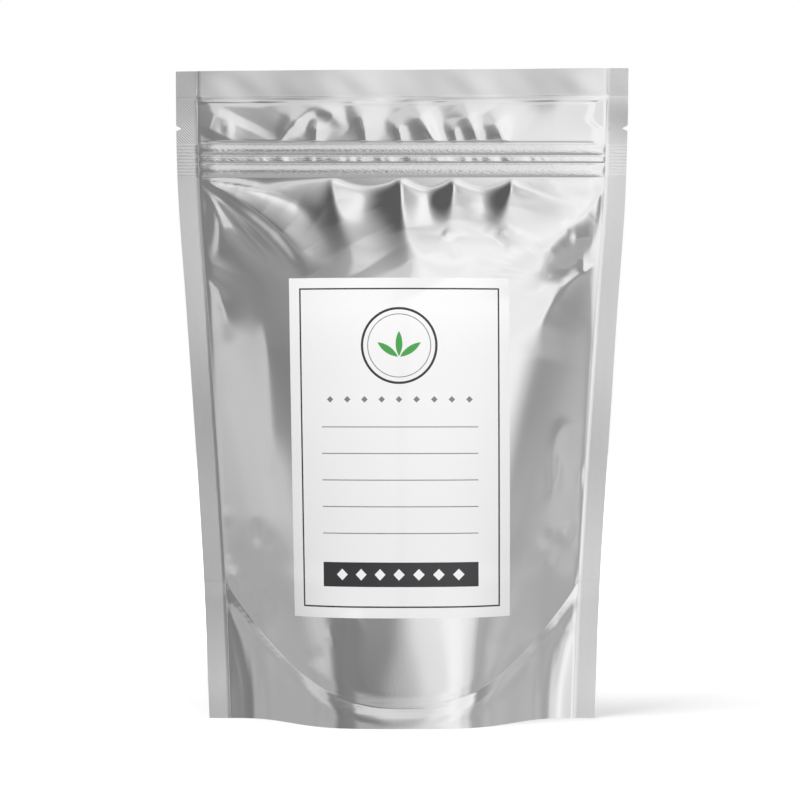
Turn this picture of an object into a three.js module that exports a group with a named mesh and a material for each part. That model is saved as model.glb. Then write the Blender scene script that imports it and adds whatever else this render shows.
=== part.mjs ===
// A filled foil stand-up pouch with a press-to-close zip and a paper label.
// Millimetres, +Z up, front face towards -Y. The origin is the middle of the foot,
// on the surface that the pouch stands on.

import * as THREE from 'three';

// Overall size of the pouch, and of its welded seams
const pouchHeight = 302;
const sideSealWidth = 10;
const topSealHeight = 13;
const gussetApexHeight = 63;
const skirtSealHeight = 9;

// Films and paper are drawn thicker than they are, so that they are solid bodies
const filmThickness = 0.5;
const labelThickness = 0.25;
const weldGap = 0.3; // between faces that touch on the real pouch
const labelGap = 0.4;

// Half of the width over the side seams, [height, half width]
const halfWidthPoints = [
  [0, 89.4], [64, 92], [106, 94.5], [148, 97.3], [190, 100.1], [245, 104], [302, 105.3],
];

// How far the filled body stands forward of the seams at mid width, [height, depth]
const zipFoot = 251;
const bulgePoints = [
  [0, 43], [20, 42.5], [64, 40], [106, 37], [148, 32.5], [190, 26], [220, 17.5], [236, 8.7], [zipFoot, 0],
];

// Press-to-close zip, inside the pouch just under the header
const zipHeight = 259;
const zipLength = 178;
const zipFlangeHeight = 14;
const zipRoom = 2.05; // from the seam plane to the film, less the weld gap

// Tear notches in both side edges of the header
const notchHeight = 274;
const notchDepth = 2.8;
const notchHalfHeight = 1.6;

// Where the filled body is gathered under the zip: offsets from mid width, in order
const gatherOffsets = [-94, -32.5, -0.5, 24, 51, 95];
const swagDrop = 5.5;
const seamFillet = 1.2;

// Label
const labelWidth = 101;
const labelBottom = 49.5;
const labelTop = 203.5;
const labelOffset = -1.4;

// Contents
const fillHeight = 146;
const berryPitch = 13;
const berryRelief = 3;
const contentsClearance = 2.2;

// Grid of each panel: steps between the side seams, and rows as [from, to, steps]
const columnSteps = 24;
const besideSeam = 0.965;
const rowBands = [
  [0, gussetApexHeight, 6],
  [gussetApexHeight, 200, 8],
  [200, 250, 7],
  [250, 270, 2],
  [270, notchHeight - notchHalfHeight, 1],
  [notchHeight - notchHalfHeight, notchHeight + notchHalfHeight, 2],
  [notchHeight + notchHalfHeight, pouchHeight - topSealHeight, 3],
  [pouchHeight - topSealHeight, pouchHeight, 1],
];
const labelColumnSteps = 14;
const flapRows = 6;
const floorRows = 14;

const smooth = (value, from, to) => THREE.MathUtils.smoothstep(value, from, to);

// A smooth curve through [position, value] points
function curveThrough(points) {
  const positions = points.map((point) => point[0]);
  const values = points.map((point) => point[1]);
  const interpolant = new THREE.CubicInterpolant(positions, values, 1);
  return (position) => interpolant.evaluate(position)[0];
}

const edgeHalfWidth = curveThrough(halfWidthPoints);
const bulgeDepth = curveThrough(bulgePoints);

function innerHalfWidth(z) {
  return edgeHalfWidth(z) - sideSealWidth;
}

// The side seam holds four films beside the gusset and two above it
function seamGap(z) {
  const besideGusset = filmThickness + weldGap + weldGap / 2;
  const aboveGusset = weldGap / 2;
  return THREE.MathUtils.lerp(besideGusset, aboveGusset, smooth(z, gussetApexHeight + 1, gussetApexHeight + 14));
}

// How far the body stands forward of the seams. The foot is nearly square in plan, the body above
// it is a lens, and a small fillet lets it into the seams.
function bodyDepth(across, z) {
  const square = Math.exp(-((Math.abs(across) / 0.68) ** 4.4)) * (1 - smooth(Math.abs(across), 0.88, 1));
  const lens = 1 - Math.abs(across) ** 2.2;
  const plan = THREE.MathUtils.lerp(square, lens, smooth(z, 8, 95));
  const depth = bulgeDepth(Math.min(z + swag(across, z), zipFoot)) * plan;
  return Math.hypot(depth, seamFillet) - seamFillet;
}

// The zip and the header pocket hold the films apart between the body and the top seam
function zipLift(across, z) {
  const top = pouchHeight - topSealHeight;
  const inHeight = smooth(z, zipHeight - 22, zipHeight - 9) * (1 - smooth(z, top - 5, top));
  return zipRoom * inHeight * (1 - smooth(Math.abs(across), besideSeam, 1));
}

// Between the places where it is gathered, the film hangs flat from the zip for longer before it
// swells, so a ridge runs down from each gather and dies out on the body
function swag(across, z) {
  const x = across * innerHalfWidth(z);
  const right = gatherOffsets.findIndex((offset) => offset > x);
  if (right < 1) return 0;
  const from = gatherOffsets[right - 1];
  const to = gatherOffsets[right];
  const middle = 4 * ((x - from) / (to - from)) * ((to - x) / (to - from));
  return swagDrop * middle * smooth(z, zipFoot - 50, zipFoot - 12);
}

// Distance from the seam plane to the inner face of either panel;
// across runs from -1 to 1 between the side seams and past them on the seams
function panelGap(across, z) {
  if (Math.abs(across) >= 1) return seamGap(z);
  return seamGap(z) + bodyDepth(across, z) + zipLift(across, z);
}

// Column positions from seam to seam, with one more close beside each seam
const columns = [-1, -besideSeam];
for (let step = 1; step < columnSteps; step += 1) columns.push(-1 + (2 * step) / columnSteps);
columns.push(besideSeam, 1);

// The outer two columns are the pouch's own edges
const columnsWithEdges = [-2, ...columns, 2];

// X of a column at a height; a column of -2 or 2 is the outer edge of the side seam
function columnX(across, z) {
  if (Math.abs(across) <= 1) return across * innerHalfWidth(z);
  const intoNotch = Math.max(0, 1 - Math.abs(z - notchHeight) / notchHalfHeight);
  return Math.sign(across) * (edgeHalfWidth(z) - notchDepth * intoNotch);
}

function rowHeights(bands) {
  const heights = [bands[0][0]];
  for (const [from, to, steps] of bands) {
    for (let step = 1; step <= steps; step += 1) heights.push(from + ((to - from) * step) / steps);
  }
  return heights;
}

// A closed solid from a stack of matching rows of points on its two faces.
function closedSheet(faceRows, backRows) {
  const rows = faceRows.length;
  const width = faceRows[0].length;
  const points = [...faceRows.flat(), ...backRows.flat()];
  const back = rows * width;
  const triangles = [];
  const quad = (a, b, c, d) => triangles.push(a, b, c, a, c, d);
  for (let row = 0; row < rows - 1; row += 1) {
    for (let column = 0; column < width - 1; column += 1) {
      const here = row * width + column;
      quad(here, here + 1, here + 1 + width, here + width);
      quad(back + here, back + here + width, back + here + 1 + width, back + here + 1);
    }
    const left = row * width;
    const right = left + width - 1;
    quad(left, left + width, back + left + width, back + left);
    quad(right, back + right, back + right + width, right + width);
  }
  for (let column = 0; column < width - 1; column += 1) {
    const last = (rows - 1) * width + column;
    quad(column, back + column, back + column + 1, column + 1);
    quad(last, last + 1, back + last + 1, back + last);
  }
  return facingOut(points, triangles);
}

// Geometry from points and triangles, turned so that its faces point out
function facingOut(points, triangles) {
  let volume = 0;
  for (let index = 0; index < triangles.length; index += 3) {
    const [a, b, c] = triangles.slice(index, index + 3).map((corner) => points[corner]);
    volume += a.dot(new THREE.Vector3().crossVectors(b, c)) / 6;
  }
  const turned = volume < 0 ? [...triangles].reverse() : triangles;
  const geometry = new THREE.BufferGeometry().setFromPoints(points);
  geometry.setIndex(turned);
  geometry.computeVertexNormals();
  return geometry;
}

// Front panel faces -Y, back panel faces +Y
function panelGeometry(side) {
  const face = [];
  const back = [];
  for (const z of rowHeights(rowBands)) {
    face.push(columnsWithEdges.map((across) => {
      return new THREE.Vector3(columnX(across, z), side * (panelGap(across, z) + filmThickness), z);
    }));
    back.push(columnsWithEdges.map((across) => {
      return new THREE.Vector3(columnX(across, z), side * panelGap(across, z), z);
    }));
  }
  return closedSheet(face, back);
}

// Height of the curved weld that joins the gusset to each panel
function gussetWeldHeight(across) {
  if (Math.abs(across) >= 1) return gussetApexHeight;
  return skirtSealHeight + (gussetApexHeight - skirtSealHeight) * Math.abs(across) ** 2.3;
}

// Clear half depth between the two welded flaps of the gusset
function gussetRoom(across, z) {
  return panelGap(across, z) - filmThickness - 2 * weldGap;
}

// Lowest height of the gusset film at a column: it rests on the floor in the middle
// and rises along a keel to the side seams
function keelHeight(across) {
  const weld = gussetWeldHeight(across);
  const room = Math.max(0, gussetRoom(across, weld));
  const spareFilm = Math.sqrt(Math.max(0, (gussetApexHeight - weld) ** 2 - room ** 2));
  const drop = Math.min(spareFilm, 3.5 * room);
  return Math.max(filmThickness / 2, weld - drop);
}

// Height of the gusset film at a share of the way from the keel to the weld
function floorHeight(across, share) {
  const flatShare = 0.4;
  const rise = Math.max(0, (Math.abs(share) - flatShare) / (1 - flatShare)) ** 2.4;
  return THREE.MathUtils.lerp(keelHeight(across), gussetWeldHeight(across), rise);
}

function gussetGeometry() {
  const upper = [];
  const lower = [];
  const addFlapRow = (side, share) => {
    const isTop = share === 1;
    upper.push(columnsWithEdges.map((across) => {
      const z = gussetWeldHeight(across) * share;
      const y = side * (panelGap(across, z) - weldGap);
      return new THREE.Vector3(columnX(across, z), y, isTop ? z + filmThickness / 2 : z);
    }));
    lower.push(columnsWithEdges.map((across) => {
      const z = gussetWeldHeight(across) * share;
      const y = side * (panelGap(across, z) - weldGap - filmThickness);
      return new THREE.Vector3(columnX(across, z), y, isTop ? z - filmThickness / 2 : z);
    }));
  };
  const addFloorRow = (share) => {
    const rowAt = (lift) => columnsWithEdges.map((across) => {
      const z = floorHeight(across, share);
      const halfDepth = gussetRoom(across, gussetWeldHeight(across));
      const y = share * Math.max(halfDepth, weldGap / 3);
      return new THREE.Vector3(columnX(across, z), y, z + lift);
    });
    upper.push(rowAt(filmThickness / 2));
    lower.push(rowAt(-filmThickness / 2));
  };
  for (let row = 0; row <= flapRows; row += 1) addFlapRow(-1, row / flapRows);
  for (let row = 0; row <= floorRows; row += 1) addFloorRow(-1 + (2 * row) / floorRows);
  for (let row = flapRows; row >= 0; row -= 1) addFlapRow(1, row / flapRows);
  return closedSheet(upper, lower);
}

// Two hooked jaws on a flange, open towards the back
function groovePoints() {
  const flange = zipFlangeHeight / 2;
  return [
    [-1.9, -flange], [-1.9, flange], [-1.5, flange], [-1.5, 1.6], [0.6, 1.6], [0.6, 0.55],
    [0.1, 0.55], [0.1, 1.1], [-1.1, 1.1], [-1.1, -1.1], [0.1, -1.1], [0.1, -0.55],
    [0.6, -0.55], [0.6, -1.6], [-1.5, -1.6], [-1.5, -flange],
  ];
}

// A barbed rib on a flange, which snaps into the groove
function ribPoints() {
  const flange = zipFlangeHeight / 2;
  return [
    [1.9, -flange], [1.5, -flange], [1.5, -0.25], [-0.2, -0.25], [-0.2, -0.8],
    [-0.8, 0], [-0.2, 0.8], [-0.2, 0.25], [1.5, 0.25], [1.5, flange], [1.9, flange],
  ];
}

// A strip of the zip: its section lies in Y and Z and runs along X
function zipStripGeometry(sectionPoints) {
  const section = new THREE.Shape(sectionPoints.map(([y, z]) => new THREE.Vector2(y, z)));
  const geometry = new THREE.ExtrudeGeometry(section, { depth: zipLength, bevelEnabled: false });
  geometry.translate(0, 0, -zipLength / 2);
  const alongX = new THREE.Matrix4().makeBasis(
    new THREE.Vector3(0, 1, 0),
    new THREE.Vector3(0, 0, 1),
    new THREE.Vector3(1, 0, 0),
  );
  return geometry.applyMatrix4(alongX);
}

// The label follows the front panel
function labelGeometry() {
  const inside = rowHeights(rowBands).filter((z) => z > labelBottom + 1 && z < labelTop - 1);
  const heights = [labelBottom, ...inside, labelTop];
  const face = [];
  const back = [];
  for (const z of heights) {
    const places = [];
    for (let step = 0; step <= labelColumnSteps; step += 1) {
      places.push((labelOffset + labelWidth * (step / labelColumnSteps - 0.5)) / innerHalfWidth(z));
    }
    const rowAt = (lift) => places.map((across) => {
      return new THREE.Vector3(across * innerHalfWidth(z), -(panelGap(across, z) + filmThickness + lift), z);
    });
    face.push(rowAt(labelGap + labelThickness));
    back.push(rowAt(labelGap));
  }
  return closedSheet(face, back);
}

// Half depth of the heap of berries at a place: it fills the films and the gusset's floor
function heapHalfDepth(across, z) {
  const wall = panelGap(across, z) - filmThickness - contentsClearance;
  const weld = gussetWeldHeight(across);
  if (z >= weld + contentsClearance) return wall;
  const keel = keelHeight(across) + contentsClearance;
  if (z <= keel) return 0;
  const rise = (z - keel) / (weld - keel + contentsClearance);
  return Math.min(wall, gussetRoom(across, weld)) * (0.4 + 0.6 * rise ** (1 / 2.4)) - contentsClearance;
}

// How far the heap reaches to either side at a height
function heapReach(z) {
  let reach = 0;
  for (let across = 0; across < 0.97; across += 0.01) {
    if (heapHalfDepth(across, z) > 1.5) reach = across;
  }
  return reach;
}

// One rounded berry top beside another, in a slightly staggered grid
function berryBumps(x, y) {
  const stagger = Math.sin(y / berryPitch) * 2;
  const bump = Math.cos((Math.PI * (x + stagger)) / berryPitch) * Math.cos((Math.PI * y) / berryPitch);
  return berryRelief * (Math.abs(bump) - 0.5);
}

// The heap is a stack of rings that follows the films, closed by a bumpy top
function heapGeometry() {
  const ringPoints = 36;
  const levels = [2.8, 6, 12, 20, 30, 42, 56, 72, 90, 108, 126, fillHeight - 5];
  const rings = levels.map((z) => {
    const reach = heapReach(z);
    return Array.from({ length: ringPoints }, (unused, index) => {
      const angle = (2 * Math.PI * index) / ringPoints;
      const across = reach * Math.cos(angle);
      const halfDepth = Math.max(heapHalfDepth(across, z), 0.6) * Math.min(1, Math.abs(Math.sin(angle)) * 2.2);
      return new THREE.Vector3(across * innerHalfWidth(z), Math.sign(Math.sin(angle)) * halfDepth, z);
    });
  });
  const rim = rings[rings.length - 1];
  for (const share of [0.86, 0.7, 0.54, 0.38, 0.2]) {
    rings.push(rim.map((point) => {
      const x = point.x * share;
      const y = point.y * share;
      return new THREE.Vector3(x, y, fillHeight + berryBumps(x, y));
    }));
  }
  const points = rings.flat();
  const triangles = [];
  for (let ring = 0; ring < rings.length - 1; ring += 1) {
    for (let index = 0; index < ringPoints; index += 1) {
      const here = ring * ringPoints + index;
      const next = ring * ringPoints + ((index + 1) % ringPoints);
      triangles.push(here, next, next + ringPoints, here, next + ringPoints, here + ringPoints);
    }
  }
  const bottom = points.push(new THREE.Vector3(0, 0, levels[0])) - 1;
  const top = points.push(new THREE.Vector3(0, 0, fillHeight + berryBumps(0, 0))) - 1;
  const lastRing = (rings.length - 1) * ringPoints;
  for (let index = 0; index < ringPoints; index += 1) {
    const next = (index + 1) % ringPoints;
    triangles.push(bottom, next, index);
    triangles.push(top, lastRing + index, lastRing + next);
  }
  return facingOut(points, triangles);
}

const foil = { color: 0xc4c6c8, roughness: 0.32, metalness: 0.9 };
const clearPlastic = { color: 0xe2e4e6, roughness: 0.4, metalness: 0 };
const paper = { color: 0xf6f6f4, roughness: 0.8, metalness: 0 };
const driedFruit = { color: 0xc98a2e, roughness: 0.6, metalness: 0 };

function addPart(name, geometry, finish) {
  const mesh = new THREE.Mesh(geometry, new THREE.MeshStandardMaterial(finish));
  mesh.name = name;
  pouch.add(mesh);
  return mesh;
}

const pouch = new THREE.Group();
addPart('front_panel', panelGeometry(-1), foil);
addPart('back_panel', panelGeometry(1), foil);
addPart('bottom_gusset', gussetGeometry(), foil);
addPart('zip_groove_strip', zipStripGeometry(groovePoints()), clearPlastic).position.z = zipHeight;
addPart('zip_rib_strip', zipStripGeometry(ribPoints()), clearPlastic).position.z = zipHeight;
addPart('front_label', labelGeometry(), paper);
addPart('dried_berries', heapGeometry(), driedFruit);

export default pouch;
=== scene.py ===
import math

import bpy
import numpy as np
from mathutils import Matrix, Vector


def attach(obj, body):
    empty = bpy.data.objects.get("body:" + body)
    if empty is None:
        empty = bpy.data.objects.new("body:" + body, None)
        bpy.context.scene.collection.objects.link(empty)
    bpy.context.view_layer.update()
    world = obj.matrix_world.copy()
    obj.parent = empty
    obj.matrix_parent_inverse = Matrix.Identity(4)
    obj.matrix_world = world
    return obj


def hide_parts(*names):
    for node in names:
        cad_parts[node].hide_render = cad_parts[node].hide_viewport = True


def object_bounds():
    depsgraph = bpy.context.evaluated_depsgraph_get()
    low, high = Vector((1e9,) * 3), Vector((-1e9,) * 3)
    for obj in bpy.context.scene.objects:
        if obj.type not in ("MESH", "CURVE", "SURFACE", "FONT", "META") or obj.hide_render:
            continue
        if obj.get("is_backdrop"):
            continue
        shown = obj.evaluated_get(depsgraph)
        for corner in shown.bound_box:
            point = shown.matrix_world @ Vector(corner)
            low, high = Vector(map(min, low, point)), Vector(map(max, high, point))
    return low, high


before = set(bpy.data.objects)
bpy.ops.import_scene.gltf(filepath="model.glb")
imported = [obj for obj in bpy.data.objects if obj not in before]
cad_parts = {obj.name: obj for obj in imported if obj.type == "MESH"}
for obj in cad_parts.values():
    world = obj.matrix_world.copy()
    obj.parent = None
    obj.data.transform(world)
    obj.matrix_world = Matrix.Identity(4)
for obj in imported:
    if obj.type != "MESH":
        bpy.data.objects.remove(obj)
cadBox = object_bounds()
print("frame loaded")

mm = 0.001

# Metres, as in the frame: the front faces -Y and the pouch stands on z = 0
pouch = {
    "height": 0.302,
    "sideSeal": 0.010,
    "topSeal": 0.013,
    "skirtSeal": 0.009,
    "gussetApex": 0.063,
    "zipFoot": 0.251,
    "zipTop": 0.267,
    "film": 0.00018,
    "seamGap": 0.00042,
    "seamGapDrop": 0.00036,
    "seamFillet": 0.0012,
    "halfWidth": ((0, 0.0894), (0.064, 0.092), (0.106, 0.0945), (0.148, 0.0973),
                  (0.19, 0.1001), (0.245, 0.104), (0.302, 0.1053)),
    "bulge": ((0, 0.043), (0.02, 0.0425), (0.064, 0.04), (0.106, 0.037), (0.148, 0.0325),
              (0.19, 0.026), (0.22, 0.0175), (0.236, 0.0087), (0.251, 0)),
    "gathers": (-0.094, -0.0325, -0.0005, 0.024, 0.051, 0.095),
    "swagDrops": (0.0015, 0.0045, 0.0055, 0.0055, 0.0105),
    "notchHeight": 0.274,
    "notchDepth": 0.0028,
    "notchHalf": 0.0012,
    "topTilt": 0.0007,
}


def smoothStep(value, low, high):
    t = np.clip((value - low) / (high - low), 0, 1)
    return t * t * (3 - 2 * t)


def hump(value, middle, width):
    return np.exp(-(((value - middle) / width) ** 2))


def curveThrough(points, at):  # smooth curve through (place, value) points
    places, values = np.array(points, dtype=float).T
    slopes = np.gradient(values, places)
    left = np.clip(np.searchsorted(places, at) - 1, 0, len(places) - 2)
    span = places[left + 1] - places[left]
    t = np.clip((at - places[left]) / span, 0, 1)
    start = (2 * t**3 - 3 * t**2 + 1) * values[left] + (t**3 - 2 * t**2 + t) * span * slopes[left]
    end = (3 * t**2 - 2 * t**3) * values[left + 1] + (t**3 - t**2) * span * slopes[left + 1]
    return start + end


def innerHalfWidth(z):
    return curveThrough(pouch["halfWidth"], z) - pouch["sideSeal"]


def seamGap(z):  # the gusset's two flaps lie between the panels up to its apex
    apex = pouch["gussetApex"]
    return pouch["seamGap"] - pouch["seamGapDrop"] * smoothStep(z, apex + 0.001, apex + 0.012)


def swag(x, z):  # how much lower the film starts to swell between two gathers
    gathers = np.array(pouch["gathers"])
    right = np.clip(np.searchsorted(gathers, x), 1, len(gathers) - 1)
    low, high = gathers[right - 1], gathers[right]
    way = np.clip((x - low) / (high - low), 0, 1)
    foot = pouch["zipFoot"]
    away = smoothStep(foot - z, 0.001, 0.011)  # cusps at the zip, waves further down
    middle = 4 * way * (1 - way) * (1 - away) + np.sin(math.pi * way) ** 2 * away
    drop = np.array(pouch["swagDrops"])[right - 1]
    return drop * middle * smoothStep(z, foot - 0.026, foot + 0.002)


# The filled body seen from above: square at the foot, a lens higher up
plan = {
    "squareHalf": 0.68,
    "squarePower": 4.4,
    "squareEdge": 0.88,
    "lensPower": 2.2,
    "change": (0.008, 0.095),
}


def bodyDepth(across, z):
    away = np.abs(across)
    square = np.exp(-((away / plan["squareHalf"]) ** plan["squarePower"]))
    square = square * (1 - smoothStep(away, plan["squareEdge"], 1))
    lens = 1 - np.minimum(away, 1) ** plan["lensPower"]
    share = smoothStep(z, *plan["change"])
    shape = square * (1 - share) + lens * share
    height = np.minimum(z + swag(across * innerHalfWidth(z), z), pouch["zipFoot"])
    fillet = pouch["seamFillet"]
    return np.hypot(np.maximum(curveThrough(pouch["bulge"], height), 0) * shape, fillet) - fillet


# Relief of the zip through the film and of the header above it
header = {
    "lift": 0.0005,
    "flangeSwell": 0.0007,
    "grooveDepth": 0.0003,
    "grooveWidth": 0.0004,
    "trackLow": 0.2578,
    "trackHigh": 0.2611,
    "trackHeight": 0.0007,
    "trackEdge": 0.0007,
    "band": 0.2875,
    "bandHeight": 0.0003,
    "bandWidth": 0.0012,
    "waver": 0.0007,
}


def lumps(x, seed, wave):  # smooth one-dimensional unevenness, -1 to 1
    rng = np.random.default_rng(seed)
    total = np.zeros_like(x)
    for octave in range(3):
        turn = rng.uniform(0, 2 * math.pi)
        total += np.sin(x * 2 * math.pi / (wave / (1 + 0.83 * octave)) + turn) / (1 + octave)
    return total / 1.83


def zipRelief(x, across, z):
    top = pouch["height"] - pouch["topSeal"]
    low, high = header["trackLow"], header["trackHigh"]
    free = 1 - smoothStep(np.abs(across), 0.92, 1)  # the side seams hold the film flat
    slow = lumps(x, 5, 0.11)
    waver = header["waver"] * slow
    closing = 1 - smoothStep(z, top - 0.003 + waver, top - 0.0002)
    lift = smoothStep(z, 0.237, 0.2505) * closing * header["lift"] * free
    lowFlange = np.clip((z - pouch["zipFoot"]) / (low - pouch["zipFoot"]), 0, 1)
    highFlange = np.clip((z - high) / (pouch["zipTop"] - high), 0, 1)
    flanges = np.sin(math.pi * lowFlange) + np.sin(math.pi * highFlange)
    relief = header["flangeSwell"] * flanges * (0.7 + 0.3 * free)
    edge = header["trackEdge"]
    track = smoothStep(z, low, low + edge) * (1 - smoothStep(z, high - edge, high))
    uneven = lumps(x + 0.3 * z, 3, 0.041) + 0.6 * lumps(x + 0.3 * z, 8, 0.012)
    crushed = 0.72 + 0.28 * np.tanh(2.2 * uneven) * np.exp(-((x / 0.08) ** 4))
    relief = relief + header["trackHeight"] * track * crushed
    bandFoot = header["band"] - 0.0013 + waver
    for line in (low - 0.0003, high + 0.0003, pouch["zipTop"] + 0.0002, bandFoot):
        groove = hump(z, line, header["grooveWidth"])
        relief = relief - header["grooveDepth"] * free**2 * groove
    band = header["bandHeight"] * np.exp(-np.abs((z - header["band"]) / header["bandWidth"]) ** 3)
    relief = relief + band * (0.75 + 0.5 * slow)
    return lift + relief * (1 - smoothStep(np.abs(across), 0.985, 1))


# Folds in the film: paths in millimetres, x to the right and z up. A fold's widths are left and
# right of its path. Its kind says how wide, high and round it is along the way
foldKinds = {
    "fan": {"spread": (0.1, 0.7, 1, 1.2), "grow": (0.05, 0.7, 1, 0.8, 0),
            "round": (0.03, 0.15, 0.5, 1)},
    "ray": {"spread": (0.06, 0.6, 1), "grow": (0.03, 0.5, 1, 0.8, 0), "round": (0.1, 0.25, 0.4)},
    "bar": {"spread": (0.8, 1, 0.8), "grow": (0, 1, 1, 1, 0), "round": (0.6, 0.6)},
    "foot": {"spread": (0.35, 1), "grow": (0.8, 1, 0), "round": (0.1, 0.7)},
    "pocket": {"spread": (0.35, 0.8, 1.1), "grow": (0.6, 1, 1, 0.5), "round": (0.2, 0.5, 0.8)},
    "roof": {"spread": (0.2, 0.8, 1, 0.9, 0.8), "grow": (0.05, 0.7, 1, 1, 0.6, 0),
             "round": (0.05, 0.15, 0.3)},
}
narrowestFold = 0.0012


def fold(rise, width, kind, *path):
    return dict(foldKinds[kind], kind=kind, rise=rise, width=width, path=path)


frontFolds = [
    # From the gathers under the zip
    fold(2.0, (17, 11), "fan", (-32.4, 250.6), (-31.5, 240), (-28.5, 230), (-23.5, 219), (-17, 208)),
    fold(3.0, (15, 14), "fan", (-0.5, 250.1), (-0.3, 239), (1.5, 226), (6, 212), (13, 199)),
    fold(1.7, (11, 9), "fan", (23.9, 249.2), (23.6, 242.4), (23, 232.9), (22.5, 223)),
    fold(2.1, (17, 11), "fan", (51, 249.2), (49.9, 242.4), (47.5, 232.9), (43, 222)),
    # From the zip's left end
    fold(-1.3, (4.5, 5), "fan", (-92.2, 249.2), (-77.3, 246.7), (-63.3, 244.3), (-47.1, 239),
         (-37.8, 232.9)),
    fold(2.7, (12.5, 6.5), "roof", (-91.9, 249.6), (-77.5, 242), (-65, 234), (-54.5, 225),
         (-46.5, 215), (-42, 205)),
    fold(-0.25, (3.5, 4), "ray", (-91.5, 248.6), (-79, 238.8), (-67.8, 230.6), (-57.8, 221.8),
         (-50.2, 212), (-46.5, 203)),
    fold(0.4, (3.2, 3.2), "ray", (-91.2, 246.3), (-81.3, 237), (-69.3, 223.6), (-59, 211.5)),
    fold(-0.35, (3.2, 3.2), "ray", (-91.2, 245), (-83.4, 235), (-71.8, 221.6), (-62, 209.6)),
    fold(1.4, (13, 6), "ray", (-92.1, 245.8), (-87, 238), (-84, 229), (-84.5, 219), (-88, 211)),
    fold(1.5, (12, 5), "ray", (-91, 206), (-85.5, 198), (-82, 188), (-80, 174)),
    fold(0.7, (9, 4), "bar", (-64, 184), (-61.5, 165), (-60.5, 140), (-59.5, 112)),
    # From the zip's right end, and down the right side
    fold(3.3, (13.5, 26), "roof", (94, 246), (85, 234.5), (75, 227), (65.5, 218), (60, 207),
         (61, 196)),
    fold(0.45, (4, 4), "bar", (78, 222), (83, 222.5), (88, 223)),
    fold(-0.4, (2, 2), "bar", (83.5, 216), (84.2, 211), (83.8, 206)),
    fold(1.8, (18, 14), "ray", (89, 210), (78, 203), (69, 194), (63.5, 183), (61, 168)),
    fold(0.5, (5, 3), "bar", (84.1, 134.1), (72.7, 136.3), (68.7, 122.7), (69.6, 102.2),
         (60.5, 96.8)),
    fold(0.4, (2, 2), "bar", (71.8, 122.7), (72.7, 115), (70.9, 106.8)),
    # Low down
    fold(0.9, (3, 3), "foot", (-81.2, 68.1), (-77.6, 65.8), (-73.2, 65.3)),
    fold(0.5, (2, 2), "bar", (-68.6, 50.2), (-65.9, 52), (-63.3, 52.5)),
    fold(-0.2, (3, 3), "bar", (37.4, 35.8), (42.9, 36.7), (48.7, 36.3)),
]

headerFolds = [
    fold(0.5, (5, 27), "bar", (-91, 270), (-87.5, 277), (-84, 284)),
    fold(0.14, (4, 4), "bar", (-83.5, 274.8), (-78.4, 275.2)),
    fold(-0.5, (1.3, 1.3), "bar", (-92, 289), (-78, 288.2), (-61.3, 286.6)),
    fold(-0.45, (1.3, 1.3), "bar", (-13, 288.4), (-4, 287.4), (5, 288)),
    fold(0.6, (10, 8), "pocket", (-57, 267.3), (-52.9, 275.7), (-47.3, 285)),
    fold(0.5, (6, 7), "bar", (-55.3, 267.7), (-50, 276), (-41, 284.5), (-32, 281), (-25, 273)),
    fold(0.6, (3.2, 9), "foot", (-40.8, 267.3), (-40.4, 273.5), (-39.4, 280)),
    fold(0.7, (5, 14), "pocket", (-17.2, 267.3), (-18.6, 276.6), (-21.3, 285)),
    fold(0.5, (3, 8), "foot", (-0.5, 267.3), (-2.3, 273.8), (-4.6, 280.3)),
    fold(1.1, (10, 7), "pocket", (15.8, 267.3), (10.2, 276.6), (3.7, 285.9)),
    fold(0.4, (3, 7), "foot", (25, 267.3), (23.7, 272.9), (22.7, 278.5)),
    fold(0.7, (8, 6), "pocket", (35.2, 268.2), (32, 276.6), (26.9, 285.4)),
    fold(1.1, (13, 9), "pocket", (47.8, 266.9), (45, 273.8), (39.9, 282.2)),
    fold(-1.6, (3.5, 3.5), "bar", (92.6, 287.8), (92.6, 281.3), (89.8, 274.8)),
]


def scatterDents(seed, count, low, high):  # small creases anywhere in a box
    rng = np.random.default_rng(seed)
    dents = []
    for _ in range(count):
        start = rng.uniform(low, high)
        way, length = rng.uniform(0, math.pi), rng.uniform(5, 14)
        bend = rng.uniform(-0.5, 0.5)
        middle = start + length / 2 * np.array([math.cos(way), math.sin(way)])
        end = middle + length / 2 * np.array([math.cos(way + bend), math.sin(way + bend)])
        rise = rng.uniform(0.2, 0.5) * rng.choice((-1, 1))
        width = rng.uniform(2, 4)
        dents.append(fold(rise, (width, width * 1.4), "bar", start, middle, end))
    return dents


frontFolds += scatterDents(11, 9, (-84, 40), (-62, 100))
frontFolds += scatterDents(12, 10, (62, 36), (84, 110))
frontFolds += scatterDents(13, 3, (-60, 12), (-24, 44))
frontFolds += scatterDents(14, 5, (-10, 206), (60, 232))

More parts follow.
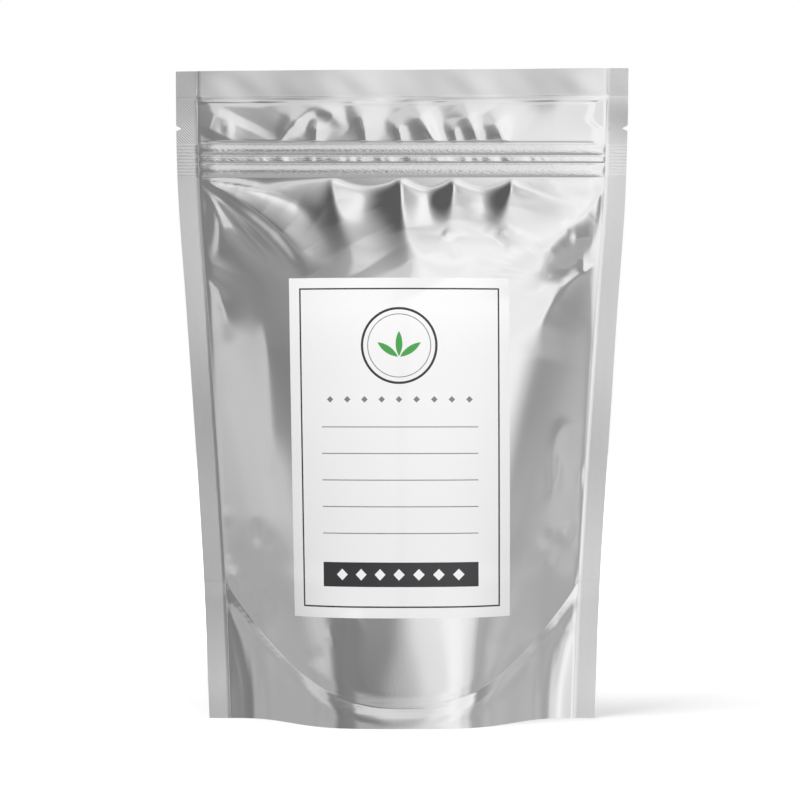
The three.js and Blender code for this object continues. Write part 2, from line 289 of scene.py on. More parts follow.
# The back has gathers of its own
backFolds = [
    fold(2.2, (14, 12), "fan", (-51, 250.6), (-50, 241), (-46, 229), (-40, 216)),
    fold(2.8, (12, 14), "fan", (-24, 250.1), (-23, 240), (-20, 226), (-15, 210)),
    fold(1.9, (12, 9), "fan", (0.5, 249.2), (1, 242), (3, 231), (6, 220)),
    fold(2.4, (10, 16), "fan", (32.4, 249.2), (31, 241), (27, 229), (20, 216)),
    fold(2.6, (10, 7), "ray", (-91.7, 248.2), (-78, 238), (-69, 225), (-64, 209), (-62, 194)),
    fold(-0.8, (4, 4), "ray", (-91.7, 246.5), (-80, 232), (-73, 217), (-70, 201)),
    fold(2.2, (8, 12), "ray", (92, 248.2), (76, 239), (62, 227), (50, 212), (42, 198)),
    fold(-0.7, (4, 4), "ray", (92, 246.5), (79, 233), (67, 219), (57, 205)),
    fold(1.2, (9, 7), "ray", (88, 176), (80, 160), (72, 141), (66, 122)),
    fold(1.0, (7, 9), "ray", (-86, 150), (-78, 135), (-70, 117), (-65, 100)),
    fold(-0.6, (6, 6), "bar", (-30, 150), (-5, 143), (24, 148)),
]
backFolds += scatterDents(21, 12, (-82, 40), (-50, 120))
backFolds += scatterDents(22, 12, (50, 40), (82, 120))
backFolds += scatterDents(23, 14, (-50, 60), (50, 190))
backHeaderFolds = [
    fold(0.9, (8, 6), "pocket", (-62, 267.3), (-57, 276), (-50, 285)),
    fold(0.7, (4, 4), "foot", (-30, 267.3), (-28, 273), (-27, 279)),
    fold(1.0, (6, 6), "pocket", (-8, 267.3), (-6, 276), (0, 285)),
    fold(0.9, (7, 5), "pocket", (27, 267.3), (22, 276), (18, 285)),
    fold(0.6, (4, 5), "foot", (48, 267.3), (50, 273), (51, 279)),
    fold(0.8, (6, 7), "pocket", (74, 267.3), (72, 276), (66, 284)),
]


def foldLine(path):  # the path in metres, finer and without its corners
    path = np.array(path, dtype=float) * mm
    steps = np.linspace(0, len(path) - 1, 30)
    line = np.stack([np.interp(steps, range(len(path)), path[:, axis]) for axis in (0, 1)], 1)
    for _ in range(6):
        line[1:-1] = (line[:-2] + 2 * line[1:-1] + line[2:]) / 4
    return line


def foldHeight(crease, x, z):
    line = foldLine(crease["path"])
    reach = 4 * max(crease["width"]) * max(crease["spread"]) * mm
    low, high = line.min(0) - reach, line.max(0) + reach
    near = (x > low[0]) & (x < high[0]) & (z > low[1]) & (z < high[1])
    height = np.zeros_like(x)
    if not near.any():
        return height
    x, z = x[near], z[near]
    best = np.full(x.shape, 1e9)
    side = np.zeros_like(x)
    along = np.zeros_like(x)
    for index in range(len(line) - 1):
        start, step = line[index], line[index + 1] - line[index]
        length = max(float(np.hypot(*step)), 1e-9)
        way = np.clip(((x - start[0]) * step[0] + (z - start[1]) * step[1]) / length**2, 0, 1)
        awayX, awayZ = x - start[0] - way * step[0], z - start[1] - way * step[1]
        distance = np.hypot(awayX, awayZ)
        closer = distance < best
        best = np.where(closer, distance, best)
        leftward = (step[0] * awayZ - step[1] * awayX) / length / np.maximum(distance, 1e-9)
        side = np.where(closer, leftward, side)
        along = np.where(closer, (index + way) / (len(line) - 1), along)
    grow, spread, rounding = (np.interp(along, np.linspace(0, 1, len(crease[key])), crease[key])
                              for key in ("grow", "spread", "round"))
    left, right = crease["width"]
    width = np.maximum((right + (left - right) * (side + 1) / 2) * mm * spread, narrowestFold)
    if crease["kind"] == "roof":  # straight flanks, with a soft foot
        shape = 1 + rounding - np.sqrt(rounding**2 + (best / width) ** 2)
        shape = (shape + np.sqrt(shape**2 + 0.02)) / 2 - 0.005
    else:
        shape = np.exp(rounding - np.sqrt(rounding**2 + 2.6 * (best / width) ** 2)) - 0.015
    height[near] = crease["rise"] * mm * grow * np.maximum(shape, 0)
    return height


def gussetWeldHeight(across):
    low, apex = pouch["skirtSeal"], pouch["gussetApex"]
    return low + (apex - low) * np.minimum(np.abs(across), 1) ** 2.3


# The gusset's weld, pressed into the panels with a swelling below it, and the seams' beads
weldRelief = {
    "groove": 0.0006,
    "grooveWidth": 0.003,
    "swell": 0.0005,
    "swellPlace": -0.006,
    "swellWidth": 0.004,
    "bead": 0.00016,
}


def filmDepth(across, z, folds, upperFolds):
    x = across * innerHalfWidth(z)
    inside = np.clip(across, -1, 1)
    depth = bodyDepth(inside, z) + zipRelief(x, inside, z)
    weld = z - gussetWeldHeight(inside)
    depth = depth - weldRelief["groove"] * hump(weld, 0, weldRelief["grooveWidth"])
    swell = hump(weld, weldRelief["swellPlace"], weldRelief["swellWidth"])
    depth = depth + weldRelief["swell"] * swell
    nearSeam = 1 - smoothStep(np.abs(inside), 0.97, 1)
    below = nearSeam * (1 - smoothStep(z, 0.2495, 0.2515))
    above = nearSeam * smoothStep(z, 0.2665, 0.2685) * (1 - smoothStep(z, 0.2855, 0.289))
    for lines, share in ((folds, below), (upperFolds, above)):
        for line in lines:
            depth = depth + foldHeight(line, x, z) * share
    bead = weldRelief["bead"] * smoothStep(1 - np.abs(across), 0, 0.006)
    return seamGap(z) + np.maximum(depth, 0) + bead


# How far the seams wander off the middle plane: a slow wave and a shorter one each
sway = {
    "sides": (0.0009, 0.0005),
    "header": (0.0007, 0.0004),
    "topSeam": 0.00028,
    "lean": 0.0011,
    "leftTurns": ((0.045, 0.228, 0.03), (-0.03, 0.282, 0.008)),
    "rightTurns": ((0.12, 0.281, 0.009),),
}


def edgeSway(x, z):  # both films wander together
    side = smoothStep(np.abs(x), 0.07, 0.105)
    head = smoothStep(z, 0.268, 0.302)
    long, short = sway["sides"]
    slow = long * np.sin(z * 26 + 1.3 * np.sign(x)) + short * np.sin(z * 71 + 2 * np.sign(x))
    long, short = sway["header"]
    across = long * np.sin(x * 47 + 0.6) + short * np.sin(x * 111 + 2)
    up = np.clip((z - 0.286) / 0.016, 0, 1)
    spots = lumps(x + 0.7 * (z - 0.29), 9, 0.045) * np.sin(math.pi * up)
    across = across + sway["topSeam"] * spots
    foot = smoothStep(z, 0, 0.02)
    lean = sway["lean"] * np.maximum(0, (z - 0.284) / 0.018) ** 2
    leftTurn, rightTurn = (sum(angle * hump(z, height, reach) for angle, height, reach in turns)
                           for turns in (sway["leftTurns"], sway["rightTurns"]))
    turned = np.maximum(0, np.abs(x) - innerHalfWidth(z)) * np.where(x < 0, leftTurn, rightTurn)
    return side * slow * foot + head * across + lean - turned


def topTilt(x, z):  # the top edge is a little lower at its left end
    return pouch["topTilt"] * (1 - x / 0.105) * smoothStep(z, 0.262, pouch["height"])


# Panels
panel = {
    "sealSteps": 5,
    "innerSteps": 36,
    "outerSteps": 55,
    "outerFrom": 0.45,
    "rows": ((0, 80), (0.2, 64), (0.25, 58), (0.268, 36), (0.289, 14)),
}


def gridPlaces():  # columns as shares across, past 1 on the seams, and row heights
    inner = np.linspace(0, panel["outerFrom"], panel["innerSteps"] + 1)[1:]
    outer = np.linspace(panel["outerFrom"], 1, panel["outerSteps"] + 1)[1:]
    seal = np.linspace(1, 2, panel["sealSteps"] + 1)[1:]
    half = np.concatenate([inner, outer, seal])
    columns = np.concatenate([-half[::-1], [0], half])
    starts = [start for start, _ in panel["rows"]] + [pouch["height"]]
    bands = [np.linspace(starts[index], starts[index + 1], steps, endpoint=False)
             for index, (_, steps) in enumerate(panel["rows"])]
    return columns, np.concatenate(bands + [[pouch["height"]]])


def columnX(across, z):
    inner = innerHalfWidth(z)
    notch = np.maximum(0, 1 - np.abs(z - pouch["notchHeight"]) / pouch["notchHalf"])
    seal = (np.abs(across) - 1) * (pouch["sideSeal"] - pouch["notchDepth"] * notch)
    return np.where(np.abs(across) <= 1, across * inner, np.sign(across) * (inner + seal))


def clearSelection():
    bpy.ops.object.select_all(action="DESELECT")


def vertexPlaces(piece):
    places = np.zeros(len(piece.data.vertices) * 3)
    piece.data.vertices.foreach_get("co", places)
    return places.reshape(-1, 3)


def moveVertices(piece, places):
    piece.data.vertices.foreach_set("co", np.ascontiguousarray(places, dtype=np.float32).ravel())
    piece.data.update()


def addAttribute(piece, name, values):
    layer = piece.data.attributes.new(name, "FLOAT", "POINT")
    layer.data.foreach_set("value", np.ascontiguousarray(values, dtype=np.float32))


def applyModifier(piece, kind, name, **settings):
    modifier = piece.modifiers.new(name, kind)
    for key, value in settings.items():
        setattr(modifier, key, value)
    clearSelection()
    piece.select_set(True)
    bpy.context.view_layer.objects.active = piece
    bpy.ops.object.modifier_apply(modifier=modifier.name)


def shadeSmooth(piece, angle=40):
    clearSelection()
    piece.select_set(True)
    bpy.context.view_layer.objects.active = piece
    bpy.ops.object.shade_smooth_by_angle(angle=math.radians(angle))


def addGrid(name, columns, rows):
    clearSelection()
    bpy.ops.mesh.primitive_grid_add(x_subdivisions=columns, y_subdivisions=rows, size=2)
    piece = bpy.context.active_object
    piece.name = name
    return piece


def makePanel(name, side, folds, upperFolds):
    columns, heights = gridPlaces()
    piece = addGrid(name, len(columns) - 1, len(heights) - 1)
    places = vertexPlaces(piece)
    across = np.interp((places[:, 0] + 1) / 2 * (len(columns) - 1), range(len(columns)), columns)
    z = np.interp((places[:, 1] + 1) / 2 * (len(heights) - 1), range(len(heights)), heights)
    depth = filmDepth(across, z, folds, upperFolds) + pouch["film"]
    x = -side * columnX(across, z)
    moveVertices(piece, np.stack([x, side * depth + edgeSway(x, z), z - topTilt(x, z)], 1))
    # Where the material presses its patterns: shares, and distances in millimetres
    top = pouch["height"] - pouch["topSeal"]
    zipFoot, zipTop = pouch["zipFoot"], pouch["zipTop"]
    zipBand = smoothStep(z, zipFoot, zipFoot + 0.001) * (1 - smoothStep(z, zipTop - 0.001, zipTop))
    border = np.minimum(np.abs(1 - np.abs(across)) * innerHalfWidth(z), np.abs(top - z))
    addAttribute(piece, "sideSeal", smoothStep(np.abs(across), 0.99, 1.02))
    addAttribute(piece, "topSeal", smoothStep(z, top, top + 0.001))
    addAttribute(piece, "zipBand", zipBand)
    addAttribute(piece, "weldLine", (z - gussetWeldHeight(across)) * 1000)
    addAttribute(piece, "border", border * 1000)
    applyModifier(piece, "SOLIDIFY", "film", thickness=pouch["film"], offset=-1)
    shadeSmooth(piece, 60)
    return piece


# Gusset: two flaps welded inside the panels, and a floor that sags between them
gusset = {
    "columns": 110,
    "flapRows": 16,
    "floorRows": 60,
    "flatShare": 0.4,
    "curl": 2.4,
    "sealColumns": 12,
    "steepest": 3.5,
    "film": 0.00016,
}


def makeGusset(name):
    rows = 2 * gusset["flapRows"] + gusset["floorRows"]
    piece = addGrid(name, gusset["columns"], rows)
    places = vertexPlaces(piece)
    across = places[:, 0] * (1 + 1 / gusset["sealColumns"])
    onSeal = np.sign(across) * (1 + (np.abs(across) - 1) * gusset["sealColumns"])
    across = np.where(np.abs(across) > 1, onSeal, across)
    row = (places[:, 1] + 1) / 2 * rows
    weld = gussetWeldHeight(across)
    flapShare = np.clip(np.minimum(row, rows - row) / gusset["flapRows"], 0, 1)
    onFlap = flapShare < 0.9999
    side = np.where(row < rows / 2, -1, 1)
    flapZ = weld * flapShare
    inside = np.clip(across, -1, 1)
    flapDepth = bodyDepth(inside, flapZ) + seamGap(flapZ) - 0.0001
    share = np.clip((row - gusset["flapRows"]) / gusset["floorRows"] * 2 - 1, -1, 1)
    room = np.maximum(bodyDepth(inside, weld) + seamGap(weld) - 0.0006, 0.00012)
    spare = np.sqrt(np.maximum((pouch["gussetApex"] - weld) ** 2 - room**2, 0))
    keel = np.maximum(weld - np.minimum(spare, gusset["steepest"] * room), pouch["film"])
    flat = gusset["flatShare"]
    rise = np.maximum(0, (np.abs(share) - flat) / (1 - flat)) ** gusset["curl"]
    floorZ = keel + (weld - keel) * rise
    z = np.where(onFlap, flapZ, floorZ)
    y = np.where(onFlap, side * flapDepth, share * room)
    x = columnX(across, z)
    moveVertices(piece, np.stack([x, y + edgeSway(x, z), z], 1))
    applyModifier(piece, "SOLIDIFY", "film", thickness=gusset["film"], offset=0)
    shadeSmooth(piece, 50)
    return piece


# Zip strips: flanged tapes with two small ribs, crushed flat into the side seams
zipStrip = {
    "half": 0.0885,
    "low": 0.2525,
    "high": 0.2655,
    "columns": 60,
    "rows": 40,
    "stand": 0.0002,
    "rib": 0.0003,
    "ribOffset": 0.0009,
    "ribWidth": 0.00045,
    "tape": 0.0001,
}


def makeZipStrip(name, side):
    piece = addGrid(name, zipStrip["columns"], zipStrip["rows"])
    places = vertexPlaces(piece)
    x = -side * places[:, 0] * zipStrip["half"]
    z = zipStrip["low"] + (zipStrip["high"] - zipStrip["low"]) * (places[:, 1] + 1) / 2
    free = 1 - smoothStep(np.abs(places[:, 0]), 0.84, 1)
    middle = (header["trackLow"] + header["trackHigh"]) / 2
    shift, width = zipStrip["ribOffset"], zipStrip["ribWidth"]
    ribs = hump(z - middle, -shift, width) + hump(z - middle, shift, width)
    depth = zipStrip["stand"] + zipStrip["rib"] * ribs * free
    moveVertices(piece, np.stack([x, side * depth + edgeSway(x, z), z], 1))
    applyModifier(piece, "SOLIDIFY", "tape", thickness=zipStrip["tape"], offset=-1)
    shadeSmooth(piece, 40)
    return piece


# Label
label = {
    "width": 0.101,
    "low": 0.0495,
    "high": 0.2035,
    "offset": -0.0014,
    "thickness": 0.00012,
    "gap": 0.00005,
    "narrowing": 0.062,
    "columns": 80,
    "rows": 120,
}


def makeLabel(name):
    piece = addGrid(name, label["columns"], label["rows"])
    places = vertexPlaces(piece)
    z = label["low"] + (label["high"] - label["low"]) * (places[:, 1] + 1) / 2
    narrower = 1 - label["narrowing"] * (1 - places[:, 1]) / 2 * (places[:, 0] < 0)
    x = label["offset"] + label["width"] / 2 * places[:, 0] * narrower
    depth = filmDepth(x / innerHalfWidth(z), z, frontFolds, []) + pouch["film"]
    lift = label["gap"] + label["thickness"]
    moveVertices(piece, np.stack([x, -(depth + lift) + edgeSway(x, z), z], 1))
    addAttribute(piece, "labelX", places[:, 0] * label["width"] / 2)
    addAttribute(piece, "labelZ", places[:, 1] * (label["high"] - label["low"]) / 2)
    applyModifier(piece, "SOLIDIFY", "paper", thickness=label["thickness"], offset=-1)
    shadeSmooth(piece, 40)
    return piece


frontFilm = makePanel("pouch_front_film", -1, frontFolds, headerFolds)
backFilm = makePanel("pouch_back_film", 1, backFolds, backHeaderFolds)
gussetFilm = makeGusset("pouch_gusset_film")
labelSheet = makeLabel("pouch_label")
zipStrips = (makeZipStrip("zip_front_tape", -1), makeZipStrip("zip_back_tape", 1))
print("films and label made")


# Materials
def newMaterial(name):
    material = bpy.data.materials.new(name)
    material.use_nodes = True
    nodes = material.node_tree.nodes
    return material, nodes, material.node_tree.links, nodes["Principled BSDF"]


def maths(nodes, links, operation, first, second=None):
    node = nodes.new("ShaderNodeMath")
    node.operation = operation
    for socket, value in zip(node.inputs, (first, second)):
        if value is None:
            continue
        if isinstance(value, (int, float)):
            socket.default_value = value
        else:
            links.new(value, socket)
    return node.outputs[0]


def sums(nodes, links):  # short ways to multiply and add
    def times(first, second):
        return maths(nodes, links, "MULTIPLY", first, second)

    def plus(first, second):
        return maths(nodes, links, "ADD", first, second)

    return times, plus


def addNoise(nodes, links, place, scale, detail=2):
    noise = nodes.new("ShaderNodeTexNoise")
    noise.inputs["Scale"].default_value = scale
    noise.inputs["Detail"].default_value = detail
    links.new(place, noise.inputs["Vector"])
    return noise.outputs["Fac"]


# Foil: pitches in metres, and heights as shares of the bump's depth
foilFinish = {
    "colour": (0.8, 0.8, 0.81, 1),
    "knurlPitch": 0.0013,
    "zipPitch": 0.0015,
    "knurl": 0.8,
    "grainScale": 900,
    "grain": 0.12,
    "scuffTurn": -38,
    "scuffScale": (500, 500, 1900),
    "scuff": 2.6,
    "pressedLines": (("weldLine", -0.9, -4), ("border", -6, -3)),
    "bumpStrength": 0.5,
    "bumpDepth": 0.00006,
    "roughness": 0.07,
    "unevenness": 0.07,
    "unevenScale": 60,
    "sealRoughness": 0.2,
}


def foilMaterial():
    material, nodes, links, shader = newMaterial("silver_foil")
    times, plus = sums(nodes, links)
    finish = foilFinish
    shader.inputs["Base Color"].default_value = finish["colour"]
    shader.inputs["Metallic"].default_value = 1
    place = nodes.new("ShaderNodeTexCoord").outputs["Object"]
    axes = nodes.new("ShaderNodeSeparateXYZ")
    links.new(place, axes.inputs[0])
    masks = {}
    for name in ("sideSeal", "topSeal", "zipBand", "weldLine", "border"):
        layer = nodes.new("ShaderNodeAttribute")
        layer.attribute_name = name
        masks[name] = layer.outputs["Fac"]
    slant = times(plus(axes.outputs["X"], axes.outputs["Z"]), 2 * math.pi / finish["knurlPitch"])
    level = times(axes.outputs["Z"], 2 * math.pi / finish["zipPitch"])
    pressed = nodes.new("ShaderNodeMix")
    links.new(masks["zipBand"], pressed.inputs["Factor"])
    links.new(maths(nodes, links, "SINE", slant), pressed.inputs["A"])
    links.new(maths(nodes, links, "SINE", level), pressed.inputs["B"])
    knurl = times(pressed.outputs["Result"], masks["sideSeal"])
    grain = addNoise(nodes, links, place, finish["grainScale"])
    stretch = nodes.new("ShaderNodeMapping")
    stretch.inputs["Rotation"].default_value = (0, math.radians(finish["scuffTurn"]), 0)
    stretch.inputs["Scale"].default_value = finish["scuffScale"]
    links.new(place, stretch.inputs["Vector"])
    scuff = times(addNoise(nodes, links, stretch.outputs[0], 1), masks["zipBand"])
    height = plus(times(grain, finish["grain"]), times(scuff, finish["scuff"]))
    height = plus(times(knurl, finish["knurl"]), height)
    for name, steepness, depth in finish["pressedLines"]:
        press = times(times(masks[name], masks[name]), steepness)
        height = plus(height, times(maths(nodes, links, "EXPONENT", press), depth))
    seals = plus(times(masks["topSeal"], finish["sealRoughness"]),
                 times(masks["sideSeal"], finish["sealRoughness"]))
    uneven = times(addNoise(nodes, links, place, finish["unevenScale"], 3), finish["unevenness"])
    links.new(plus(uneven, plus(seals, finish["roughness"])), shader.inputs["Roughness"])
    bump = nodes.new("ShaderNodeBump")
    bump.inputs["Strength"].default_value = finish["bumpStrength"]
    bump.inputs["Distance"].default_value = finish["bumpDepth"]
    links.new(height, bump.inputs["Height"])
    links.new(bump.outputs["Normal"], shader.inputs["Normal"])
    return material


# The label's print, in millimetres from its middle: blank rules and plain shapes
labelArt = {
    "charcoal": (0.035, 0.035, 0.038, 1),
    "grey": (0.22, 0.22, 0.23, 1),
    "green": (0.06, 0.36, 0.07, 1),
    "paper": (0.9, 0.9, 0.9, 1),
    "frame": (45.5, 72, 0.35),
    "medallion": (0, 46, 17, 0.55),
    "innerRing": (0, 46, 14.4, 0.2),
    "beads": {"height": 21.5, "pitch": 8, "reach": 34, "size": 1.5},
    "rules": (9, -3, -15, -27, -39),
    "ruleHalf": (36, 0.22),
    "bar": (-57.5, 5.5, 36),
    "diamonds": {"height": -57.5, "pitch": 9, "reach": 32, "size": 2.6},
    "leaves": (90, 35, 145),
    "leaf": (11.5, 3.1),
    "leafStand": 0.55,
    "leafDrop": 5.5,
}


def paperMaterial():
    material, nodes, links, shader = newMaterial("label_paper")
    times, plus = sums(nodes, links)
    art = labelArt
    axes = []
    for name in ("labelX", "labelZ"):
        layer = nodes.new("ShaderNodeAttribute")
        layer.attribute_name = name
        axes.append(times(layer.outputs["Fac"], 1000))
    across, up = axes

    def near(value, middle, reach):
        node = nodes.new("ShaderNodeMath")
        node.operation = "COMPARE"
        links.new(value, node.inputs[0])
        node.inputs[1].default_value, node.inputs[2].default_value = middle, reach
        return node.outputs[0]

    def distance(x, z):
        sideways, upward = plus(across, -x), plus(up, -z)
        return maths(nodes, links, "SQRT", plus(times(sideways, sideways), times(upward, upward)))

    def diamondRow(row):  # a row of diamonds, one in each pitch
        cell = maths(nodes, links, "PINGPONG", across, row["pitch"] / 2)
        rise = maths(nodes, links, "ABSOLUTE", plus(up, -row["height"]))
        inside = maths(nodes, links, "LESS_THAN", plus(cell, rise), row["size"])
        return times(inside, near(across, 0, row["reach"]))

    width, height, line = art["frame"]
    sideways, upward = (maths(nodes, links, "ABSOLUTE", axis) for axis in axes)
    dark = times(near(sideways, width, line), near(up, 0, height + line))
    dark = plus(dark, times(near(upward, height, line), near(across, 0, width + line)))
    x, z, radius, line = art["medallion"]
    dark = plus(dark, near(distance(x, z), radius, line))
    low, half, reach = art["bar"]
    bar = times(near(up, low, half), near(across, 0, reach))
    dark = plus(dark, times(bar, plus(1, times(diamondRow(art["diamonds"]), -1))))
    x, z, radius, line = art["innerRing"]
    pale = plus(near(distance(x, z), radius, line), diamondRow(art["beads"]))
    half, line = art["ruleHalf"]
    for z in art["rules"]:
        pale = plus(pale, times(near(up, z, line), near(across, 0, half)))
    x, z, _, _ = art["medallion"]
    length, width = art["leaf"]
    radius = (length**2 / 4 + width**2 / 4) / width
    leaves = 0
    for turn in art["leaves"]:  # each leaf is where two discs overlap
        way = math.radians(turn)
        away = length * art["leafStand"]
        middle = (x + math.cos(way) * away, z - art["leafDrop"] + math.sin(way) * away)
        shift = radius - width / 2
        leaf = 1
        for sign in (-1, 1):
            centre = (middle[0] - sign * math.sin(way) * shift,
                      middle[1] + sign * math.cos(way) * shift)
            leaf = times(leaf, maths(nodes, links, "LESS_THAN", distance(*centre), radius))
        leaves = plus(leaves, leaf)
    colour = art["paper"]
    for mask, name in ((dark, "charcoal"), (pale, "grey"), (leaves, "green")):
        mix = nodes.new("ShaderNodeMix")
        mix.data_type = "RGBA"
        mix.clamp_factor = True
        links.new(mask, mix.inputs["Factor"])
        if isinstance(colour, tuple):
            mix.inputs[6].default_value = colour
        else:
            links.new(colour, mix.inputs[6])
        mix.inputs[7].default_value = art[name]
        colour = mix.outputs[2]
    links.new(colour, shader.inputs["Base Color"])
    shader.inputs["Roughness"].default_value = 0.42
    return material


def plainMaterial(name, colour, roughness):
    material, _, _, shader = newMaterial(name)
    shader.inputs["Base Color"].default_value = colour
    shader.inputs["Roughness"].default_value = roughness
    return material


def setMaterial(piece, material):
    piece.data.materials.clear()
    piece.data.materials.append(material)


foil = foilMaterial()
plastic = plainMaterial("zip_plastic", (0.86, 0.87, 0.88, 1), 0.4)
dressed = (
    (frontFilm, foil, "foil", "front_panel"),
    (backFilm, foil, "foil", "back_panel"),
    (gussetFilm, foil, "foil", "bottom_gusset"),
    (labelSheet, paperMaterial(), "label_paper", "front_label"),
    (zipStrips[0], plastic, "zip_plastic", "zip_groove_strip"),
    (zipStrips[1], plastic, "zip_plastic", "zip_rib_strip"),
)
for piece, material, slot, node in dressed:
    setMaterial(piece, material)
    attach(piece, "root")
    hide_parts(node)
fruit = plainMaterial("dried_fruit", (0.58, 0.3, 0.06, 1), 0.5)
setMaterial(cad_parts["dried_berries"], fruit)
print("materials set")


# Stage, light and camera
studio = {
    "cameraDistance": 1.25,
    "cameraHeight": 0.1477,
    "cameraSide": -0.00093,
    "lens": 121.05,
    "aim": 0.15,
    "floorSize": 12,
    "floorColour": (0.62, 0.62, 0.62, 1),
    "floorFade": (0.2, 0.5),
    "floorGlow": (0.33, 1.1),
    "domeRadius": 4.5,
    "ambient": 0.48,
    "darkest": 0.08,
    "domeNoise": 0.7,
}

# Soft windows in the dome: degrees to the right and up as seen from the pouch, each a ramp in
# and a ramp out; a negative glow is a dark part of the studio
windows = (
    {"turn": ((-56, -42), (-2, 2)), "rise": ((-60, -40), (-2, 16)), "glow": -0.22},
    {"turn": ((-57, -50), (-18, -10)), "rise": ((-2, 16), (10, 30)), "glow": -0.2},
    {"turn": ((-22, -14), (-2, 2)), "rise": ((-46, -34), (-14, -5)), "glow": 0.22},
    {"turn": ((-66, -58), (-44, -34)), "rise": ((-60, -48), (-26, -14)), "glow": -0.16},
    {"turn": ((50, 60), (78, 92)), "rise": ((1, 6), (30, 50)), "glow": -0.14},
    {"turn": ((-100, -80), (-48, -2)), "rise": ((14, 40), (80, 96)), "glow": -0.36},
    {"turn": ((-14, -10), (-2, 2)), "rise": ((8, 14), (26, 42)), "glow": 0.3},
    {"turn": ((-1.5, 2.5), (47, 57)), "rise": ((-26, -12), (18, 44)), "glow": 0.42},
    {"turn": ((-24, 10), (47, 57)), "rise": ((18, 44), (44, 68)), "glow": 0.42},
    {"turn": ((2, 18), (47, 57)), "rise": ((-26, -12), (30, 60)), "glow": 0.16},
    {"turn": ((-14, 12), (62, 80)), "rise": ((36, 60), (80, 96)), "glow": 0.26},
    {"turn": ((28, 44), (50, 54)), "rise": ((-60, -50), (0, 12)), "glow": -0.22},
    {"turn": ((-4, 20), (140, 170)), "rise": ((60, 78), (100, 110)), "glow": 0.4},
    {"turn": ((-96, -88), (-62, -52)), "rise": ((-8, 2), (40, 60)), "glow": 0.22},
    {"turn": ((64, 82), (100, 116)), "rise": ((-30, 10), (40, 60)), "glow": 0.12},
    {"turn": ((-178, -172), (-140, -132)), "rise": ((-40, -20), (50, 80)), "glow": 0.5},
    {"turn": ((128, 136), (164, 174)), "rise": ((-40, -20), (50, 80)), "glow": -0.3},
)


def addFloor():
    clearSelection()
    bpy.ops.mesh.primitive_plane_add(size=studio["floorSize"], location=(0, 0, 0))
    floor = bpy.context.active_object
    floor.name = "stage_floor"
    floor.visible_glossy = False
    floor.visible_diffuse = False
    material, nodes, links, shader = newMaterial("stage_white")
    shader.inputs["Base Color"].default_value = studio["floorColour"]
    shader.inputs["Roughness"].default_value = 1
    shader.inputs["Emission Color"].default_value = (1, 1, 1, 1)
    behind = nodes.new("ShaderNodeMixShader")  # from below the floor lets the foot be seen
    links.new(nodes.new("ShaderNodeNewGeometry").outputs["Backfacing"], behind.inputs["Fac"])
    links.new(shader.outputs[0], behind.inputs[1])
    links.new(nodes.new("ShaderNodeBsdfTransparent").outputs[0], behind.inputs[2])
    links.new(behind.outputs[0], nodes["Material Output"].inputs["Surface"])
    place = nodes.new("ShaderNodeTexCoord").outputs["Object"]
    length = nodes.new("ShaderNodeVectorMath")
    length.operation = "LENGTH"
    links.new(place, length.inputs[0])
    glow = mapRange(nodes, links, length.outputs["Value"], studio["floorFade"], studio["floorGlow"])
    links.new(glow, shader.inputs["Emission Strength"])
    floor.data.materials.append(material)
    floor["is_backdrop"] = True


def mapRange(nodes, links, value, source, target):
    node = nodes.new("ShaderNodeMapRange")
    node.interpolation_type = "SMOOTHSTEP"
    node.inputs["From Min"].default_value, node.inputs["From Max"].default_value = source
    node.inputs["To Min"].default_value, node.inputs["To Max"].default_value = target
    links.new(value, node.inputs["Value"])
    return node.outputs["Result"]


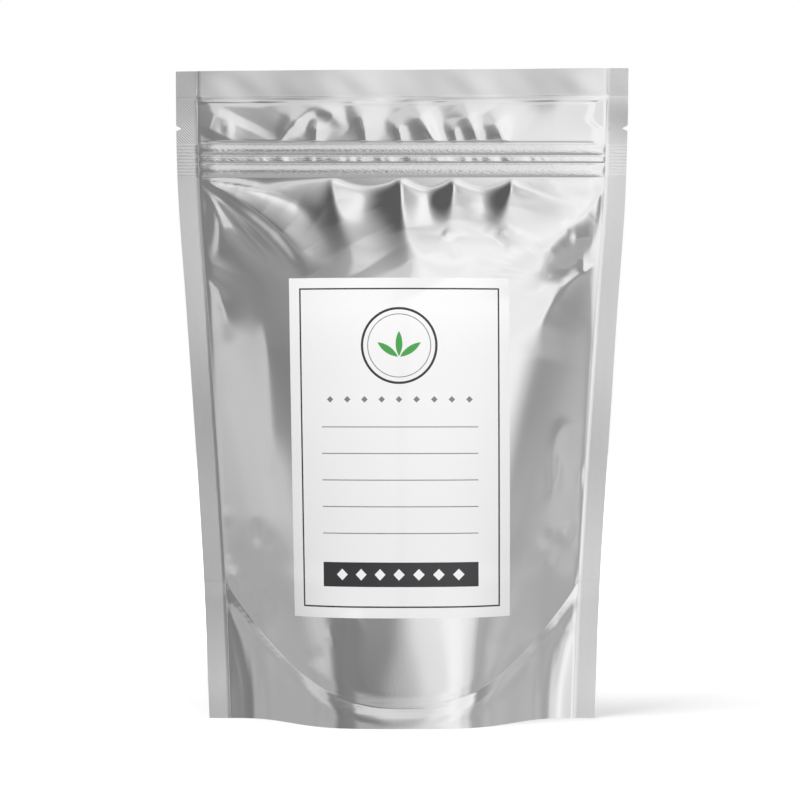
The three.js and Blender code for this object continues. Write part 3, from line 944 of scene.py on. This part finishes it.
def addDome():  # a big sphere of light, seen only in reflections
    clearSelection()
    radius = studio["domeRadius"]
    bpy.ops.mesh.primitive_uv_sphere_add(segments=64, ring_count=32, radius=radius,
                                         location=(0, 0, 0))
    dome = bpy.context.active_object
    dome.name = "stage_dome"
    dome.visible_camera = False
    material, nodes, links, _ = newMaterial("stage_light")
    times, plus = sums(nodes, links)
    place = nodes.new("ShaderNodeTexCoord").outputs["Object"]
    axes = nodes.new("ShaderNodeSeparateXYZ")
    links.new(place, axes.inputs[0])
    toward = times(axes.outputs["Y"], -1)
    turn = maths(nodes, links, "ARCTAN2", axes.outputs["X"], toward)
    rise = maths(nodes, links, "ARCSINE", maths(nodes, links, "DIVIDE", axes.outputs["Z"], radius))
    turn, rise = (maths(nodes, links, "DEGREES", angle) for angle in (turn, rise))
    glow = studio["ambient"]
    for window in windows:
        light = window["glow"]
        for angle, key in ((turn, "turn"), (rise, "rise")):
            into, out = window[key]
            enter = mapRange(nodes, links, angle, into, (0, 1))
            leave = mapRange(nodes, links, angle, out, (1, 0))
            light = times(light, times(enter, leave))
        glow = plus(glow, light)
    glow = maths(nodes, links, "MAXIMUM", glow, studio["darkest"])
    uneven = plus(times(addNoise(nodes, links, place, studio["domeNoise"]), 0.5), 0.75)
    emission = nodes.new("ShaderNodeEmission")
    links.new(times(glow, uneven), emission.inputs["Strength"])
    links.new(emission.outputs[0], nodes["Material Output"].inputs["Surface"])
    dome.data.materials.append(material)
    dome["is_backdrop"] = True


def addLight(name, azimuth, elevation, distance, size, radiance):  # fills what isn't metal
    light = bpy.data.lights.new(name, "AREA")
    light.size = size
    light.energy = radiance * math.pi * size**2
    box = bpy.data.objects.new(name, light)
    bpy.context.collection.objects.link(box)
    turn, lift = math.radians(azimuth), math.radians(elevation)
    level = math.cos(lift)
    away = np.array([math.sin(turn) * level, -math.cos(turn) * level, math.sin(lift)])
    box.location = np.array([0, 0, studio["aim"]]) + away * distance
    box.rotation_euler = (math.pi / 2 - lift, 0, turn)
    box.visible_camera = False
    box.visible_glossy = False


def setWorld():
    world = bpy.data.worlds.new("studio_world")
    bpy.context.scene.world = world
    world.use_nodes = True
    nodes, links = world.node_tree.nodes, world.node_tree.links
    path = nodes.new("ShaderNodeLightPath")
    seen = nodes.new("ShaderNodeBackground")
    seen.inputs["Color"].default_value = (1, 1, 1, 1)
    around = nodes["Background"]
    around.inputs["Strength"].default_value = 0
    mix = nodes.new("ShaderNodeMixShader")
    links.new(path.outputs["Is Camera Ray"], mix.inputs["Fac"])
    links.new(around.outputs[0], mix.inputs[1])
    links.new(seen.outputs[0], mix.inputs[2])
    links.new(mix.outputs[0], nodes["World Output"].inputs["Surface"])


def addCamera():
    data = bpy.data.cameras.new("camera")
    data.lens = studio["lens"]
    data.sensor_width = 36
    camera = bpy.data.objects.new("camera", data)
    bpy.context.collection.objects.link(camera)
    camera.location = (studio["cameraSide"], -studio["cameraDistance"], studio["cameraHeight"])
    camera.rotation_euler = (math.pi / 2, 0, 0)
    bpy.context.scene.camera = camera


addFloor()
setWorld()
addDome()
addLight("fill_light", 22, 18, 2.4, 1.2, 3.1)
addLight("key_light", -48, 71, 2.2, 0.8, 18)
addCamera()
bpy.context.scene.view_settings.view_transform = "Standard"
print("stage, light and camera set")

boxes = {"cad": cadBox, "visual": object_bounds()}
{key: [list(corner) for corner in box] for key, box in boxes.items()}
